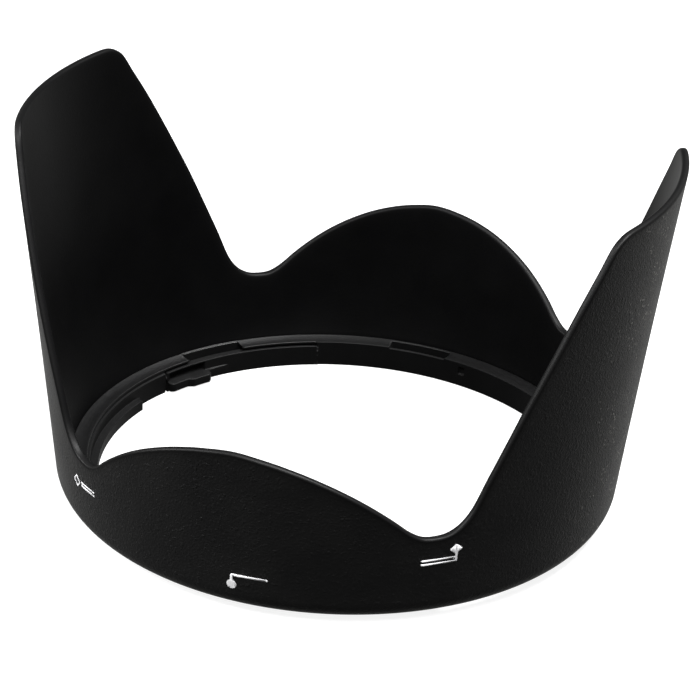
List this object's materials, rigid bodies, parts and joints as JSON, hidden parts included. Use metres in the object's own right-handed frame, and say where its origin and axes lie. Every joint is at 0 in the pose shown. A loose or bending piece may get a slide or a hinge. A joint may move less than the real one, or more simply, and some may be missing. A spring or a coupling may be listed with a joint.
{
  "type": "petal lens hood",
  "caption": "Flared black petal lens hood with two long and two short petals, an inner bayonet ring with springy click tongues, and white index marks.",
  "frame": {"origin": "centre of the foot plane, on the optical axis", "axes": "+Z along the optical axis away from the camera, +X through the middle of a long petal, +Y through the middle of a short petal"},
  "size_m": [0.0986, 0.0916, 0.0579],
  "materials": {
    "shell_plastic": "fine-grained matte moulded plastic, smooth matte inside",
    "ring_plastic": "smooth satin moulded plastic",
    "tongue_plastic": "smooth satin moulded plastic",
    "index_ink": "thin white pad-printed ink"
  },
  "bodies": {
    "hood": {"hood_shell": "shell_plastic", "bayonet_ring": "ring_plastic", "mark_attach": "index_ink", "mark_lock_a": "index_ink", "mark_lock_b_diamond": "index_ink", "mark_lock_b_line_upper": "index_ink", "mark_lock_b_line_lower": "index_ink"},
    "tongue_a": {"click_tongue_a": "tongue_plastic"},
    "tongue_b": {"click_tongue_b": "tongue_plastic"}
  },
  "joints": [
    {"name": "tongue_a_flex", "type": "hinge", "parent": "hood", "child": "tongue_a", "pos_m": [-0.01656, 0.03502, 0.0017], "axis": [0, 0, -1], "range_deg": [0, 1.4]},
    {"name": "tongue_b_flex", "type": "hinge", "parent": "hood", "child": "tongue_b", "pos_m": [0.01656, -0.03502, 0.0017], "axis": [0, 0, -1], "range_deg": [0, 1.4]}
  ]
}
